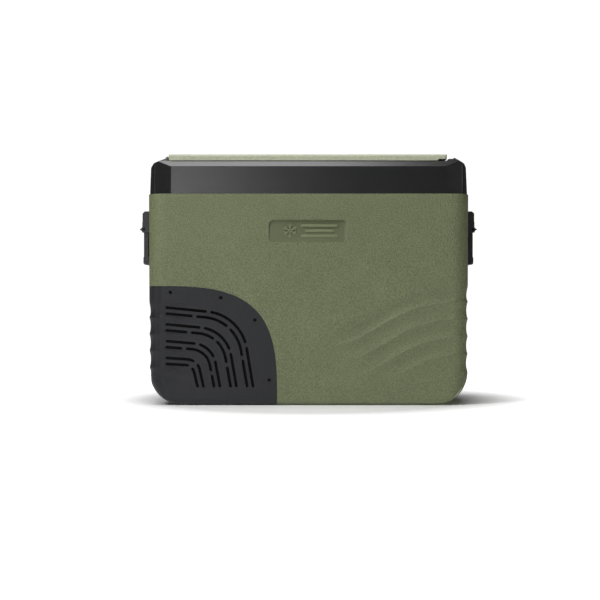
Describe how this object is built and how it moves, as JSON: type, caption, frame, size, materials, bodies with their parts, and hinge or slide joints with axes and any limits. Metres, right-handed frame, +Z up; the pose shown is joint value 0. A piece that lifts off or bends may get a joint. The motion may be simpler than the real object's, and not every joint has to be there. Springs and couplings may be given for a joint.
{
  "type": "compressor cooler fridge",
  "caption": "Portable powered cooler with an end-hinged lid, fold-down end handles, slotted vent cover, control panel and a stepped liner with a wire basket.",
  "frame": {"origin": "centre of the footprint on the floor under the rubber feet", "axes": "X along the length with the lid hinge at -X and the latch at +X, front at -Y, Z up"},
  "size_m": [0.622, 0.344, 0.4466],
  "materials": {
    "green_shell": "satin",
    "green_lid": "satin",
    "black_cover": "satin",
    "black_frame": "satin",
    "handle_black": "satin",
    "panel_black": "satin",
    "grey_plastic": "matte",
    "liner_white": "satin",
    "foam": "matte",
    "soft_rubber": "matte",
    "latch_plastic": "satin",
    "display": "gloss",
    "button_grey": "satin",
    "board_green": "satin",
    "light_lens": "satin",
    "bright_steel": "satin",
    "dark_steel": "satin",
    "zinc_steel": "satin",
    "black_enamel": "gloss",
    "fin_aluminium": "satin",
    "copper": "satin",
    "basket_wire": "gloss",
    "filter_mesh": "matte"
  },
  "bodies": {
    "cabinet": {"outer_shell": "green_shell", "badge": "green_shell", "vent_cover": "black_cover", "vent_screws": "dark_steel", "bay_wall": "grey_plastic", "inner_liner": "liner_white", "evaporator_tube": "copper", "top_frame": "black_frame", "hinge_pin": "bright_steel", "foam_insulation": "foam", "control_bezel": "panel_black", "display_window": "display", "control_board": "board_green", "latch_strike": "bright_steel", "handle_bracket_left": "handle_black", "handle_bracket_right": "handle_black", "handle_pin_left": "dark_steel", "handle_pin_right": "dark_steel", "handle_screws_left": "dark_steel", "handle_screws_right": "dark_steel", "base_plate": "zinc_steel", "rubber_feet": "soft_rubber", "compressor": "black_enamel", "compressor_mounts": "soft_rubber", "condenser": "fin_aluminium", "fan_housing": "panel_black", "filter_drier": "copper", "discharge_pipe": "copper", "liquid_pipe": "copper", "suction_pipe": "copper", "capillary_tube": "copper", "power_module": "fin_aluminium", "low_voltage_inlet": "panel_black", "mains_inlet": "panel_black", "interior_light": "light_lens", "dust_filter": "filter_mesh", "inlet_panel": "black_cover"},
    "lid": {"lid_panel": "green_lid", "lid_tray": "black_frame", "lid_foam": "foam", "lid_liner": "liner_white", "lid_gasket": "soft_rubber", "latch_pin": "bright_steel", "latch_spring": "bright_steel"},
    "latch": {"latch_lever": "latch_plastic"},
    "left_handle": {"handle_grip_left": "handle_black"},
    "right_handle": {"handle_grip_right": "handle_black"},
    "power_button": {"button_1": "button_grey"},
    "set_button": {"button_2": "button_grey"},
    "up_button": {"button_3": "button_grey"},
    "down_button": {"button_4": "button_grey"},
    "fan": {"fan_rotor": "panel_black"},
    "basket": {"basket_floor": "basket_wire", "basket_front": "basket_wire", "basket_back": "basket_wire", "basket_left": "basket_wire", "basket_right": "basket_wire"}
  },
  "joints": [
    {"name": "lid_hinge", "type": "hinge", "parent": "cabinet", "child": "lid", "pos_m": [-0.2525, 0, 0.44], "axis": [0, -1, 0], "range_deg": [0, 95]},
    {"name": "latch_pivot", "type": "hinge", "parent": "lid", "child": "latch", "pos_m": [0.237, 0, 0.4405], "axis": [0, -1, 0], "range_deg": [0, 20], "stiffness_Nm_per_rad": 0.3, "springref_deg": -8.59, "deforming": ["latch_spring"]},
    {"name": "left_handle_pivot", "type": "hinge", "parent": "cabinet", "child": "left_handle", "pos_m": [-0.302, 0, 0.317], "axis": [0, 1, 0], "range_deg": [0, 90]},
    {"name": "right_handle_pivot", "type": "hinge", "parent": "cabinet", "child": "right_handle", "pos_m": [0.302, 0, 0.317], "axis": [0, -1, 0], "range_deg": [0, 90]},
    {"name": "power_press", "type": "slide", "parent": "cabinet", "child": "power_button", "axis": [0.3701, 0, -0.929], "range_m": [0, 0.0008], "stiffness_N_per_m": 300},
    {"name": "set_press", "type": "slide", "parent": "cabinet", "child": "set_button", "axis": [0.3701, 0, -0.929], "range_m": [0, 0.0008], "stiffness_N_per_m": 300},
    {"name": "up_press", "type": "slide", "parent": "cabinet", "child": "up_button", "axis": [0.3701, 0, -0.929], "range_m": [0, 0.0008], "stiffness_N_per_m": 300},
    {"name": "down_press", "type": "slide", "parent": "cabinet", "child": "down_button", "axis": [0.3701, 0, -0.929], "range_m": [0, 0.0008], "stiffness_N_per_m": 300},
    {"name": "fan_spin", "type": "hinge", "parent": "cabinet", "child": "fan", "pos_m": [-0.225, -0.02, 0.102], "axis": [1, 0, 0], "continuous": true},
    {"name": "basket_lift", "type": "slide", "parent": "cabinet", "child": "basket", "axis": [0, 0, 1], "range_m": [0, 0.09]}
  ]
}
